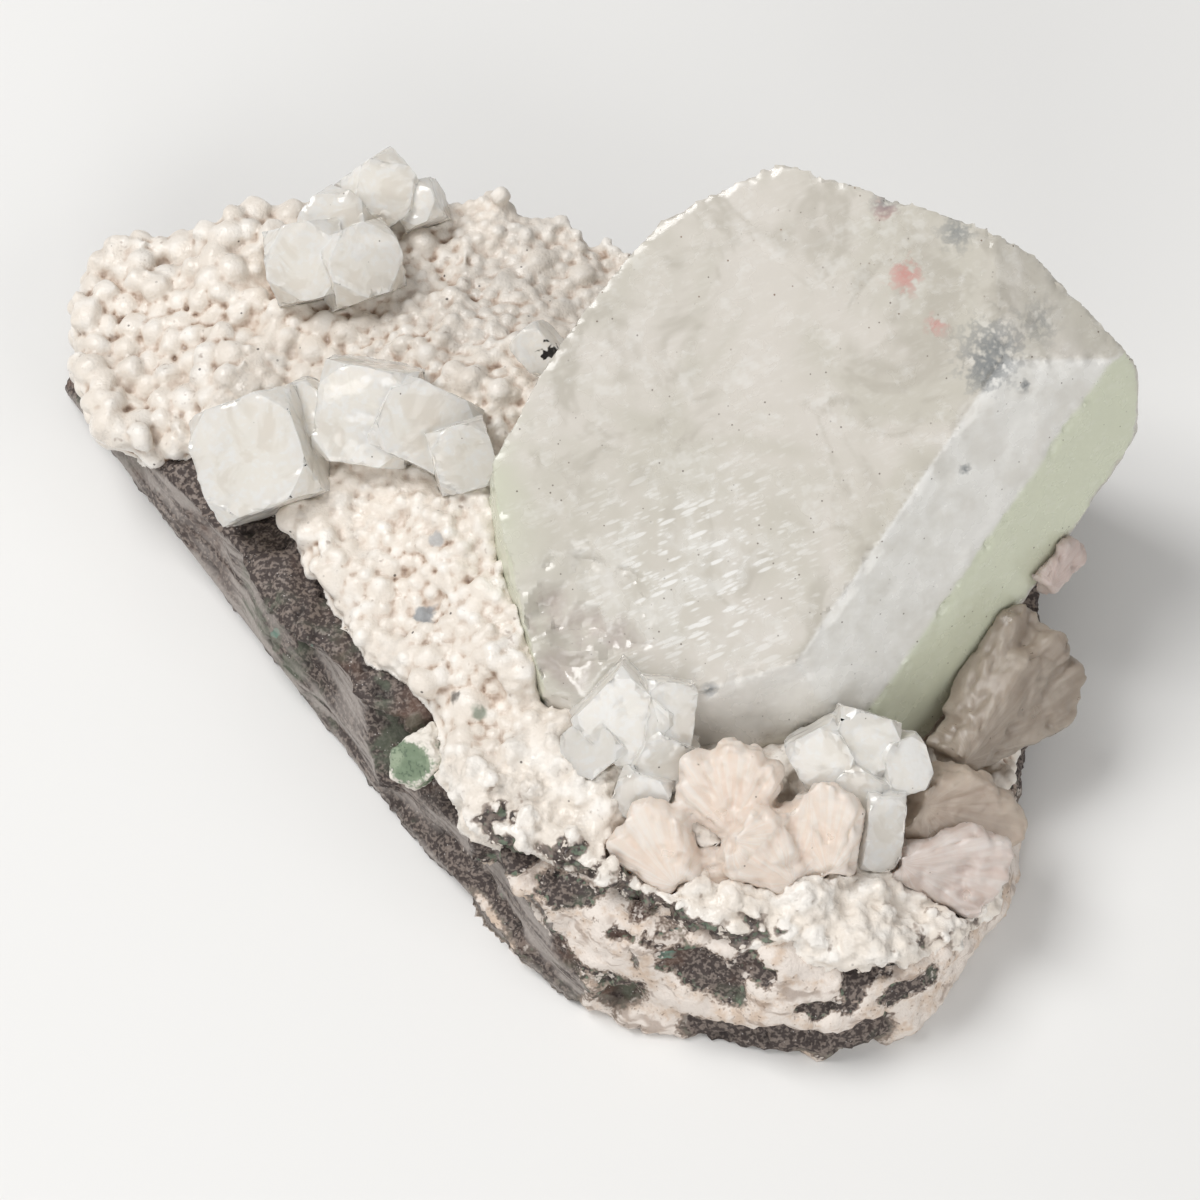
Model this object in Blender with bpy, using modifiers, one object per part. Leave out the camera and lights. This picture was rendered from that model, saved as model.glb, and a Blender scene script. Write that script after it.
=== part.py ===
"""Apophyllite cluster: one large pale green crystal and many small clear ones on a druse over basalt.

The specimen lies on its flat broken back. X runs left to right, Y away from the viewer and Z up.
Lengths are in millimetres until a mesh is handed to Blender, and angles are in degrees.
"""
import math
import random

import bmesh
import bpy
from mathutils import Matrix, Vector, noise

MM = 0.001
GAP = 0.3
BED_GAP = 0.5
SLIVER_SHARE = 0.88
SEED = 7

# Outline of the basalt in plan at its widest level, anticlockwise from the far left
STONE_OUTLINE = [
    (-60, 36), (-54, 22), (-41, 8), (-29, -6), (-18, -19), (-8, -33), (0, -38), (9, -40), (20, -43.4),
    (30, -42), (35.6, -37.4), (41, -28), (45, -16), (48, -2), (48.5, 14), (44, 27), (34, 37), (18, 42), (4, 43),
    (-8, 46), (-24, 49), (-40, 47), (-53, 46), (-58, 42),
]
STONE_BATTER = 2.5
FRONT_BATTER = 3.0
LEFT_BATTER = 3.0
STONE_VOXEL = 1.7
STONE_TRIANGLES = 950

# Sawn left side: a line in plan where it meets the base, and its lean out of the vertical
SAW_START = (-57.4, 34.0)
SAW_END = (-10.5, -31.0)
SAW_LEAN = 14.0
SAW_BLOCK = 300.0

# Height of the druse at named spots in plan: (x, y, height)
DRUSE_SPOTS = [
    (-56, 36, 15), (-52, 46, 17), (-50, 26, 16.5), (-38, 47, 20), (-24, 51, 22), (-8, 47, 23), (3, 42, 22),
    (-36, 27, 20), (-38, 15, 18), (-28, 8, 20.5), (-22, 18, 23), (-10, 26, 26), (-24, -3, 19), (-12, 8, 26),
    (-10, -5, 24), (-14, -15, 18), (-2, -14, 21), (0, -27, 18), (12, -33, 17), (26, -36, 14), (38, -31, 10.5), (38, -22, 9.5),
    (12, -20, 18), (26, -22, 16), (38, -12, 8.5), (46, 2, 7.5), (42, 20, 11), (24, 36, 17), (16, 8, 17),
]
DRUSE_DEPTH = 4.2
DRUSE_VOXEL = 0.8
DRUSE_TRIANGLES = 2080

# Edge of the druse in plan, in the same order
DRUSE_OUTLINE = [
    (-59, 38), (-57, 30), (-55, 26), (-50.5, 23), (-47, 23), (-42.8, 20.5), (-39.2, 16.8), (-34.6, 13),
    (-30, 5), (-27.5, 0), (-25, -5), (-20, -9), (-16.5, -12), (-15.5, -19), (-12.5, -24.5), (-8, -27.5),
    (-3, -29.5), (3, -31.5), (9, -35), (16, -37), (25, -39), (31, -37.5), (37, -34), (41, -29), (43, -20),
    (45.5, -5), (46, 15), (40, 28), (24, 39), (5, 43), (-2.6, 46.5), (-8, 49), (-12, 51.5), (-18, 50.5),
    (-24, 53), (-34, 52), (-44, 49), (-52, 49.5), (-57.5, 46.5),
]
KNOB_SMALL = (1.0, 1.5)
KNOB_LARGE = (1.5, 2.3)
RIM_STEP = 2.6
RIM_DROPS = (2.2, 4.6)
RIM_INSET = 0.975

# Big soft lumps of the druse along its front edge: (x, y, height of the centre, radius)
FRONT_LUMPS = [
    (-12.1, -20.1, 16.5, 4.0), (-13.6, -17, 16.5, 3.0), (-9, -23.5, 14.5, 3.2), (-0.8, -21.5, 17, 3.4),
    (0, -25.6, 15, 3.6), (-2.5, -18.5, 18, 3.0), (4.1, -30.4, 13, 3.4), (8.2, -30.2, 13.5, 3.6),
    (12.8, -32.5, 13.5, 3.6), (20.8, -32.5, 14.5, 3.8), (26.6, -35.5, 12, 4.0), (20.5, -35.5, 11.5, 3.8),
    (14.4, -35.5, 11, 3.4), (31, -35.5, 10.5, 3.4), (35.5, -33.5, 9, 3.0),
]

# Large crystal: its face frame, and each side as (azimuth, reach at the face, dip below the face)
MAIN_CENTRE = (15.0, 9.8, 36.1)
MAIN_FACING = (-0.12, -0.48, 0.869)
MAIN_SIDES = [
    (110.5, 24.6, 112), (137, 21.4, 104), (147, 22.0, 98), (182, 26.4, 76), (191, 26.8, 70), (237, 32.8, 60),
    (283, 23.3, 36), (283, 27.0, 58), (321.6, 17.1, 38), (321.6, 21.4, 56), (1.2, 26.8, 32),
    (321.6, 34.2, 96), (331, 37.1, 95), (0, 40.8, 92), (45, 34.1, 100), (68, 28.2, 112),
    (2, 62, 135), (42, 56, 134), (322, 64, 136),
]
MAIN_FLOOR = 9.0
BREAK_SPOT = (-17.0, -15.5)
BREAK_RADIUS = 17.0
BREAK_DEPTH = 1.3

# Blocky clear crystals: (centre, facing, spin, half sizes, how far the corners are cut)
MIDDLE_BLOCKS = [
    ((-36.0, 17.4, 20.8), (-0.25, -0.5, 0.83), 10, (6.0, 6.0, 5.4), 0.82),
    ((-24.6, 20.8, 24.2), (-0.12, -0.62, 0.77), -14, (5.0, 5.2, 5.0), 0.84),
    ((-19.0, 18.8, 24.4), (0.18, -0.52, 0.83), -18, (5.2, 4.2, 4.4), 0.82),
    ((-14.6, 14.6, 25.2), (0.1, -0.6, 0.79), 20, (3.2, 3.5, 3.4), 0.82),
    ((-30.6, 21.4, 22.0), (-0.5, -0.3, 0.81), 35, (3.2, 3.2, 3.4), 0.82),
]
TOP_BLOCKS = [
    ((-31.6, 41.0, 23.0), (-0.1, -0.55, 0.83), 8, (4.4, 4.2, 4.4), 0.76),
    ((-26.6, 40.4, 23.4), (0.3, -0.45, 0.84), 30, (4.2, 4.0, 4.2), 0.76),
    ((-29.0, 44.6, 23.4), (0.0, -0.3, 0.95), 52, (3.8, 3.6, 4.0), 0.76),
    ((-24.2, 49.8, 23.6), (0.15, -0.5, 0.85), 40, (3.7, 3.7, 4.6), 0.74),
    ((-19.8, 48.4, 23.2), (-0.2, -0.5, 0.84), 15, (2.4, 2.4, 3.2), 0.78),
]
GAP_BLOCKS = [
    ((-6.2, 26.6, 27.4), (-0.3, -0.6, 0.74), 30, (2.0, 2.6, 2.8), 0.82),
]
FOOT_BLOCKS = [
    ((2.6, -14.2, 21.6), (-0.05, -0.72, 0.69), 45, (4.0, 4.0, 3.6), 0.88),
    ((6.2, -14.6, 21.4), (0.3, -0.62, 0.72), 8, (2.6, 4.2, 3.4), 0.9),
    ((0.0, -16.6, 19.6), (-0.4, -0.6, 0.69), 20, (3.0, 2.8, 3.0), 0.84),
    ((6.4, -18.0, 19.4), (0.1, -0.75, 0.65), -20, (3.0, 2.8, 3.2), 0.82),
    ((4.6, -21.4, 17.8), (-0.2, -0.7, 0.68), 60, (2.6, 2.8, 2.6), 0.82),
]
GLASSY_BLOCKS = [
    ((23.0, -17.6, 19.0), (-0.1, -0.65, 0.75), 24, (3.0, 3.0, 3.2), 0.82),
    ((26.8, -16.2, 19.2), (0.15, -0.55, 0.82), -12, (3.4, 3.0, 3.4), 0.82),
    ((30.4, -18.0, 17.4), (0.4, -0.5, 0.77), 30, (2.5, 2.9, 3.2), 0.84),
    ((26.4, -20.4, 17.2), (-0.05, -0.8, 0.6), 50, (2.8, 2.8, 2.8), 0.8),
    ((28.8, -24.2, 15.4), (0.2, -0.75, 0.63), 8, (2.0, 4.2, 2.4), 0.88),
]

# Stilbite fans: (root, facing, spin, length, width of a blade, thickness, sweep, blades)
FRONT_FANS = [
    ((13.6, -24.6, 16.8), (-0.1, -0.7, 0.71), 2, 10.2, 4.2, 4.4, 92, 5),
    ((23.6, -29.0, 14.6), (-0.15, -0.6, 0.78), 6, 11.0, 4.8, 3.8, 56, 4),
    ((8.4, -30.0, 14.8), (-0.2, -0.7, 0.67), 22, 11.0, 4.6, 3.4, 50, 4),
    ((19.4, -29.6, 15.0), (0.1, -0.75, 0.65), 48, 10.0, 4.4, 3.6, 56, 4),
    ((16.2, -28.6, 14.0), (-0.05, -0.7, 0.7), 86, 9.5, 4.4, 4.4, 20, 2),
    ((14.6, -28.8, 13.6), (0.05, -0.65, 0.76), -84, 10.5, 4.6, 4.4, 20, 2),
]
GREY_FANS = [
    ((36.4, -14.8, 12.6), (0.5, -0.55, 0.67), -36, 20.2, 5.0, 4.8, 38, 5),
    ((38.0, -11.0, 13.4), (0.55, -0.5, 0.67), -12, 18.5, 4.0, 4.0, 12, 2),
]
TAN_FANS = [
    ((32.6, -20.6, 13.6), (0.3, -0.55, 0.78), -92, 13.0, 7.0, 5.0, 52, 3),
]
PINK_FANS = [
    ((30.6, -26.6, 12.8), (0.1, -0.62, 0.78), -92, 13.4, 3.8, 3.6, 46, 5),
]
RIM_FANS = [
    ((46.4, 2.4, 19.2), (0.6, -0.5, 0.62), -25, 8.6, 3.4, 3.0, 24, 2),
]

BLADE_TWIST = 7.0

CHIP_CENTRE = (-18.6, -14.8, 12.6)
CHIP_FACING = (-0.5, -0.6, 0.62)
CHIP_HALF = (3.4, 2.4, 2.2)


def start_clean():
    """Empty the scene and give back the collections for the parts and for the cutters."""
    for thing in list(bpy.data.objects):
        bpy.data.objects.remove(thing)
    parts = bpy.data.collections.new("apophyllite_cluster")
    cutters = bpy.data.collections.new("cutters")
    bpy.context.scene.collection.children.link(parts)
    bpy.context.scene.collection.children.link(cutters)
    return parts, cutters


def make_material(name, colour, roughness, transmission=0.0):
    """Plain surface of one colour."""
    material = bpy.data.materials.new(name)
    material.use_nodes = True
    surface = material.node_tree.nodes["Principled BSDF"]
    surface.inputs["Base Color"].default_value = (*colour, 1)
    surface.inputs["Roughness"].default_value = roughness
    surface.inputs["Metallic"].default_value = 0
    surface.inputs["Transmission Weight"].default_value = transmission
    return material


def make_object(name, mesh_in_mm, collection):
    """Turn a bmesh in millimetres into an object in metres."""
    bmesh.ops.recalc_face_normals(mesh_in_mm, faces=mesh_in_mm.faces)
    bmesh.ops.scale(mesh_in_mm, vec=(MM, MM, MM), verts=mesh_in_mm.verts)
    mesh = bpy.data.meshes.new(name)
    mesh_in_mm.to_mesh(mesh)
    mesh_in_mm.free()
    thing = bpy.data.objects.new(name, mesh)
    collection.objects.link(thing)
    return thing


def hide_cutter(thing):
    thing.hide_render = True
    thing.display_type = "WIRE"


def bake(thing):
    """Put the result of an object's modifiers into its mesh."""
    shaped = thing.evaluated_get(bpy.context.evaluated_depsgraph_get())
    mesh = bpy.data.meshes.new_from_object(shaped)
    thing.modifiers.clear()
    thing.data = mesh
    return thing


def combine(target, tool, operation, solver="EXACT"):
    """Join a tool to a target, or cut it away."""
    step = target.modifiers.new(operation.lower(), "BOOLEAN")
    step.operation = operation
    step.solver = solver
    step.object = tool
    return bake(target)


def remesh(thing, size):
    step = thing.modifiers.new("even out", "REMESH")
    step.mode = "VOXEL"
    step.voxel_size = size * MM
    return bake(thing)


def reduce_to(thing, triangles=None):
    """Bring a mesh down to a number of triangles, or only clear the slivers that a cut has left."""
    thing.data.calc_loop_triangles()
    triangles = triangles or len(thing.data.loop_triangles) * SLIVER_SHARE
    step = thing.modifiers.new("reduce", "DECIMATE")
    step.ratio = min(1.0, triangles / len(thing.data.loop_triangles))
    return bake(thing)


def keep_largest(thing):
    """Drop crumbs that a cut has left, and tidy the seams of the rest."""
    mesh = bmesh.new()
    mesh.from_mesh(thing.data)
    left = set(mesh.faces)
    islands = []
    while left:
        queue = [left.pop()]
        island = set(queue)
        while queue:
            for edge in queue.pop().edges:
                for face in edge.link_faces:
                    if face in left:
                        left.discard(face)
                        island.add(face)
                        queue.append(face)
        islands.append(island)
    largest = max(islands, key=len)
    bmesh.ops.delete(mesh, geom=[f for f in mesh.faces if f not in largest], context="FACES")
    bmesh.ops.triangulate(mesh, faces=mesh.faces)
    mesh.to_mesh(thing.data)
    mesh.free()
    return thing


def face_frame(facing, spin=0.0):
    """Axes of a face: Z out of it, and Y as near as it can be to the world's, turned by the spin."""
    out = Vector(facing).normalized()
    across = Vector((0, 1, 0)).cross(out).normalized()
    turn = Matrix((across, out.cross(across), out)).transposed()
    return turn @ Matrix.Rotation(math.radians(spin), 3, "Z")


def cut_solid(half, planes, centre, frame, grow):
    """Convex crystal: a block cut back by planes, each a unit normal and its distance from the centre."""
    solid = bmesh.new()
    bmesh.ops.create_cube(solid, size=2)
    bmesh.ops.scale(solid, vec=[side + grow for side in half], verts=solid.verts)
    for normal, reach in planes:
        everything = solid.verts[:] + solid.edges[:] + solid.faces[:]
        cut = bmesh.ops.bisect_plane(
            solid, geom=everything, dist=0.001, plane_co=normal * (reach + grow), plane_no=normal, clear_outer=True
        )
        rim = [item for item in cut["geom_cut"] if isinstance(item, bmesh.types.BMEdge)]
        if len(rim) > 2:
            bmesh.ops.edgeloop_fill(solid, edges=rim)
    place = Matrix.Translation(centre) @ frame.to_4x4()
    bmesh.ops.transform(solid, matrix=place, verts=solid.verts)
    return solid


def block_crystal(centre, facing, spin, half, corner, grow):
    """Blocky crystal: a square prism with its eight corners cut."""
    reach = sum(half) / math.sqrt(3) * corner
    planes = []
    for x in (-1, 1):
        for y in (-1, 1):
            for z in (-1, 1):
                planes.append((Vector((x, y, z)).normalized(), reach))
    return cut_solid(half, planes, centre, face_frame(facing, spin), grow)


def blade_crystal(centre, facing, spin, length, width, thickness, grow):
    """Flat blade from its root at the centre, with a blunt point at its tip."""
    frame = face_frame(facing, spin)
    middle = Vector(centre) + frame @ Vector((0, length / 2, 0))
    planes = []
    for side in (-1, 1):
        for lean in (-0.35, 0.35):
            planes.append((Vector((side * 0.8, 0.6, lean)).normalized(), length / 2 * 0.66 + width * 0.12))
        planes.append((Vector((side * 0.9, 0, 0.44)).normalized(), width * 0.52))
    return cut_solid((width / 2, length / 2, thickness / 2), planes, middle, frame, grow)


def fan_blades(centre, facing, spin, length, width, thickness, sweep, blades):
    """The blades of one fan, spread evenly round its root; the middle ones are the longest."""
    out = Vector(facing).normalized()
    spread = []
    for index in range(blades):
        share = index / (blades - 1) - 0.5
        bow = 1 - 0.45 * abs(share) - 0.06 * (index % 3)
        across = Matrix.Rotation(math.radians(spin + share * sweep), 3, out) @ Vector((0, 1, 0))
        tilted = Matrix.Rotation(math.radians(BLADE_TWIST * (index % 3 - 1) + share * 9), 3, across) @ out
        root = Vector(centre) + out * (0.17 * index) + across.cross(out) * 0.13 * index
        spread.append((root, tilted, spin + share * sweep, length * bow, width, thickness + 0.11 * index))
    return spread


def join_solids(name, solids, collection):
    """Union of overlapping solids as one closed piece."""
    whole = make_object(name, solids[0], collection)
    for index, solid in enumerate(solids[1:]):
        extra = make_object(f"{name}_{index}", solid, collection)
        combine(whole, extra, "UNION")
        bpy.data.objects.remove(extra)
    return whole


def block_group(name, blocks, collection, grow=0.0):
    return join_solids(name, [block_crystal(*block, grow) for block in blocks], collection)


def fan_group(name, fans, collection, grow=0.0):
    blades = []
    for fan in fans:
        blades += fan_blades(*fan)
    return join_solids(name, [blade_crystal(*blade, grow) for blade in blades], collection)


def main_crystal(name, collection, grow=0.0):
    """The large crystal: a broad face, sloping bands at its lower right, and steep sides elsewhere."""
    frame = face_frame(MAIN_FACING)
    planes = [(Vector((0, 0, 1)), 0.0)]
    for azimuth, reach, dip in MAIN_SIDES:
        turn, slope = math.radians(azimuth), math.radians(dip)
        normal = Vector((math.cos(turn) * math.sin(slope), math.sin(turn) * math.sin(slope), math.cos(slope)))
        planes.append((normal, reach * math.sin(slope)))
    down = frame.transposed() @ Vector((0, 0, -1))
    planes.append((down, MAIN_CENTRE[2] - MAIN_FLOOR))
    whole = make_object(name, cut_solid((60, 60, 60), planes, MAIN_CENTRE, frame, grow), collection)
    if grow == 0:
        spot = frame @ Vector((*BREAK_SPOT, BREAK_RADIUS - BREAK_DEPTH)) + Vector(MAIN_CENTRE)
        ball = bmesh.new()
        bmesh.ops.create_icosphere(ball, subdivisions=3, radius=BREAK_RADIUS, matrix=Matrix.Translation(spot))
        hollow = make_object("break_hollow", ball, collection)
        combine(whole, hollow, "DIFFERENCE")
        bpy.data.objects.remove(hollow)
    return whole


def druse_height(x, y):
    """Height of the druse over a spot in plan, a smooth blend of the named spots."""
    total = weight_sum = 0.0
    for spot_x, spot_y, height in DRUSE_SPOTS:
        weight = 1 / ((x - spot_x) ** 2 + (y - spot_y) ** 2 + 4) ** 1.6
        total += weight * height
        weight_sum += weight
    return total / weight_sum


def inside(x, y, outline):
    """Whether a spot in plan is inside an outline."""
    within = False
    for (ax, ay), (bx, by) in zip(outline, outline[1:] + outline[:1]):
        if (ay > y) != (by > y) and x < (bx - ax) * (y - ay) / (by - ay) + ax:
            within = not within
    return within


def walk(outline, step):
    """Even stations along a closed outline."""
    stations = []
    for start, end in zip(outline, outline[1:] + outline[:1]):
        length = math.dist(start, end)
        for index in range(max(1, round(length / step))):
            share = index / max(1, round(length / step))
            stations.append((start[0] + (end[0] - start[0]) * share, start[1] + (end[1] - start[1]) * share))
    return stations


def slab(outline, bottom, top):
    """Upright solid over an outline in plan."""
    solid = bmesh.new()
    base = solid.faces.new([solid.verts.new((x, y, bottom)) for x, y in outline])
    lifted = bmesh.ops.extrude_face_region(solid, geom=[base])
    raised = [item for item in lifted["geom"] if isinstance(item, bmesh.types.BMVert)]
    bmesh.ops.translate(solid, vec=(0, 0, top - bottom), verts=raised)
    return solid


def rough(point, size, seed):
    """Fractal noise at a point, for a lump size in millimetres."""
    return noise.fractal(Vector(point) / size + Vector((seed, 0, 0)), 1.0, 2.0, 4)


def basalt(name, collection):
    """Broken block of basalt with layered edges, flat underneath and sawn along its left side."""
    stone = make_object(name, slab(STONE_OUTLINE, -4, 14), collection)
    remesh(stone, STONE_VOXEL)
    for vert in stone.data.vertices:
        x, y, z = vert.co / MM
        top = druse_height(x, y) - DRUSE_DEPTH
        z = -4 + (z + 4) / 18 * (top + 4)
        normal = Vector(vert.normal)
        level = max(0.0, min(1.0, z / 14))
        draft = STONE_BATTER + FRONT_BATTER * max(0.0, -normal.y) + LEFT_BATTER * max(0.0, -normal.x)
        side = math.hypot(normal.x, normal.y)
        ledge = 1.1 * math.sin(z * 1.25 + 2.5 * rough((x, y, 0), 22, 5)) if y < 0 else 0.0
        push = 2.4 * rough((x, y, z), 13, 1) + 1.0 * rough((x, y, z * 1.8), 4.5, 2)
        point = Vector((x, y, z)) + normal * push * (0.35 + 0.65 * side)
        point -= Vector((normal.x, normal.y, 0)) * (draft * level ** 1.5 - ledge)
        vert.co = point * MM
    remesh(stone, STONE_VOXEL * 0.8)
    reduce_to(stone, STONE_TRIANGLES)
    start, end = Vector((*SAW_START, 0)), Vector((*SAW_END, 0))
    along = (end - start).normalized()
    lean = Matrix.Rotation(math.radians(SAW_LEAN), 3, along)
    outward = lean @ Vector((along.y, -along.x, 0))
    for spot, normal in ((Vector((0, 0, 0)), Vector((0, 0, -1))), (start, outward)):
        waste = bmesh.new()
        bmesh.ops.create_cube(waste, size=SAW_BLOCK)
        turn = normal.to_track_quat("Z", "Y").to_matrix().to_4x4()
        place = Matrix.Translation(spot + normal * SAW_BLOCK / 2) @ turn
        bmesh.ops.transform(waste, matrix=place, verts=waste.verts)
        block = make_object("sawn_off", waste, collection)
        combine(stone, block, "DIFFERENCE")
        bpy.data.objects.remove(block)
    return stone


def stone_bed(stone, name, collection):
    """Copy of the stone, a little larger all over, to cut its bed in what grows on it."""
    bed = bpy.data.objects.new(name, stone.data.copy())
    collection.objects.link(bed)
    for vert in bed.data.vertices:
        vert.co += Vector(vert.normal) * BED_GAP * MM
    return bed


def knob(centre, radius, spin, blocky):
    """One knob of the druse: a ball, or a block with soft corners."""
    solid = bmesh.new()
    if blocky:
        bmesh.ops.create_cube(solid, size=1.6 * radius)
        bmesh.ops.bevel(solid, geom=solid.edges[:], offset=0.3 * radius, segments=1, affect="EDGES")
    else:
        bmesh.ops.create_icosphere(solid, subdivisions=1, radius=radius)
    turn = Matrix.Rotation(spin, 4, Vector((0.4, 0.3, 1)).normalized())
    bmesh.ops.transform(solid, matrix=Matrix.Translation(centre) @ turn, verts=solid.verts)
    return solid


def druse(name, outline, collection):
    """Crust of knobs over the stone, as one solid."""
    chance = random.Random(SEED)
    crust = bmesh.new()
    bed = slab(outline, 8, 12)
    mesh = bpy.data.meshes.new("bed")
    bed.to_mesh(mesh)
    bed.free()
    crust.from_mesh(mesh)
    whole = remesh(make_object(name, crust, collection), 1.4)
    for vert in whole.data.vertices:
        x, y, z = vert.co / MM
        top = druse_height(x, y) - 1.2 + 1.0 * rough((x, y, 0), 9, 3)
        low = max(3.0, top - DRUSE_DEPTH - 3.0)
        vert.co.z = (low + (z - 8) / 4 * (top - low)) * MM
    merged = bmesh.new()
    merged.from_mesh(whole.data)
    placed = []
    for x, y, z, radius in FRONT_LUMPS:
        placed.append((x, y, z, radius))
    for _ in range(5000):
        x, y = chance.uniform(-60, 50), chance.uniform(-44, 58)
        spin = chance.uniform(0, 6)
        low, high = KNOB_LARGE if x < -34 + 6 * math.sin(y * 0.2) else KNOB_SMALL
        radius = chance.uniform(low, high)
        if not inside(x, y, outline):
            continue
        z = druse_height(x, y) + 1.0 * rough((x, y, 0), 9, 3) - 0.9
        if any((x - a) ** 2 + (y - b) ** 2 < (0.62 * (radius + d)) ** 2 for a, b, c, d in placed):
            continue
        placed.append((x, y, z, radius))
    for x, y in walk(outline, RIM_STEP):
        for drop in RIM_DROPS:
            shift_x, shift_y = chance.uniform(-0.8, 0.8), chance.uniform(-0.8, 0.8)
            lift = chance.uniform(-0.6, 0.6) - drop
            placed.append((x * RIM_INSET + shift_x, y * RIM_INSET + shift_y, druse_height(x, y) + lift,
                           chance.uniform(*KNOB_SMALL) * 1.2))
    for index, (x, y, z, radius) in enumerate(placed):
        solid = knob((x, y, z), radius, index * 1.7, radius > 1.7 and x < -34)
        bmesh.ops.scale(solid, vec=(MM, MM, MM), verts=solid.verts)
        mesh = bpy.data.meshes.new("knob")
        solid.to_mesh(mesh)
        solid.free()
        merged.from_mesh(mesh)
        bpy.data.meshes.remove(mesh)
    merged.to_mesh(whole.data)
    merged.free()
    remesh(whole, DRUSE_VOXEL)
    return reduce_to(whole, DRUSE_TRIANGLES)


def chip(name, collection, grow=0.0):
    """Rounded chip of green celadonite set in the wall of the stone."""
    reach = sum(CHIP_HALF) / math.sqrt(3)
    planes = []
    for x, y, z, share in (
        (1, 1, 1, 0.78), (-1, 1, 1, 0.7), (1, -1, 1, 0.74), (-1, -1, 1, 0.68), (1, 1, -1, 0.8), (-1, 1, -1, 0.8),
        (1, -1, -1, 0.8), (-1, -1, -1, 0.8),
    ):
        planes.append((Vector((x, y, z)).normalized(), reach * share))
    solid = cut_solid(CHIP_HALF, planes, CHIP_CENTRE, face_frame(CHIP_FACING, 12), grow)
    return make_object(name, solid, collection)


def stand_on_base(parts):
    """Bring the middle of the whole specimen over the origin, under one empty."""
    bpy.context.view_layer.update()
    corners = []
    for thing in parts.objects:
        corners += [thing.matrix_world @ vert.co for vert in thing.data.vertices]
    middle = [(min(c[axis] for c in corners) + max(c[axis] for c in corners)) / 2 for axis in (0, 1)]
    stand = bpy.data.objects.new("specimen_origin", None)
    stand.location = (-middle[0], -middle[1], 0)
    parts.objects.link(stand)
    for thing in parts.objects:
        if thing is not stand:
            thing.parent = stand
    return stand


def build():
    parts, cutters = start_clean()
    glass = (0.80, 0.79, 0.77)
    makers = {
        "main_crystal": (main_crystal, None, ("pale_green_apophyllite", (0.72, 0.74, 0.68), 0.25, 0.3)),
        "clear_crystals_middle": (block_group, MIDDLE_BLOCKS, ("clear_apophyllite", glass, 0.1, 0.7)),
        "clear_crystals_top": (block_group, TOP_BLOCKS, ("clear_apophyllite_top", glass, 0.1, 0.7)),
        "clear_crystal_gap": (block_group, GAP_BLOCKS, ("clear_apophyllite_gap", glass, 0.1, 0.7)),
        "clear_crystals_foot": (block_group, FOOT_BLOCKS, ("clear_apophyllite_foot", glass, 0.1, 0.7)),
        "clear_crystals_front": (block_group, GLASSY_BLOCKS, ("clear_apophyllite_front", glass, 0.1, 0.7)),
        "stilbite_fans_front": (fan_group, FRONT_FANS, ("peach_stilbite", (0.85, 0.76, 0.68), 0.4, 0)),
        "stilbite_blades_grey": (fan_group, GREY_FANS, ("grey_stilbite", (0.55, 0.48, 0.40), 0.35, 0)),
        "stilbite_blade_tan": (fan_group, TAN_FANS, ("tan_stilbite", (0.74, 0.66, 0.56), 0.4, 0)),
        "stilbite_blades_pink": (fan_group, PINK_FANS, ("pink_stilbite", (0.84, 0.76, 0.73), 0.4, 0)),
        "stilbite_blade_rim": (fan_group, RIM_FANS, ("rose_stilbite", (0.80, 0.74, 0.71), 0.4, 0)),
        "celadonite_chip": (chip, None, ("green_celadonite", (0.42, 0.58, 0.45), 0.7, 0)),
    }
    pieces, pockets = {}, {}
    for name, (maker, shape, finish) in makers.items():
        inputs = (name,) if shape is None else (name, shape)
        grown = (name + "_pocket",) if shape is None else (name + "_pocket", shape)
        pieces[name] = maker(*inputs, parts)
        for other, pocket in pockets.items():
            combine(pieces[name], pocket, "DIFFERENCE")
        keep_largest(pieces[name])
        pieces[name].data.materials.clear()
        pieces[name].data.materials.append(make_material(*finish))
        pockets[name] = maker(*grown, cutters, GAP)
        hide_cutter(pockets[name])
    stone = basalt("basalt_matrix", parts)
    crust = druse("druse_crust", DRUSE_OUTLINE, parts)
    for pocket in pockets.values():
        combine(stone, pocket, "DIFFERENCE", "MANIFOLD")
        combine(crust, pocket, "DIFFERENCE", "MANIFOLD")
    reduce_to(keep_largest(stone))
    bed = stone_bed(stone, "stone_bed", cutters)
    hide_cutter(bed)
    combine(crust, bed, "DIFFERENCE", "MANIFOLD")
    combine(crust, stone, "DIFFERENCE", "MANIFOLD")
    reduce_to(keep_largest(crust))
    finishes = ((stone, ("basalt", (0.10, 0.085, 0.08), 0.85)), (crust, ("druse", (0.80, 0.77, 0.72), 0.7)))
    for thing, finish in finishes:
        thing.data.materials.clear()
        thing.data.materials.append(make_material(*finish))
    stand_on_base(parts)


build()
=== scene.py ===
import math

import bmesh
import bpy
from mathutils import Matrix, Vector, noise
from mathutils.bvhtree import BVHTree
from mathutils.kdtree import KDTree


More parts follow.
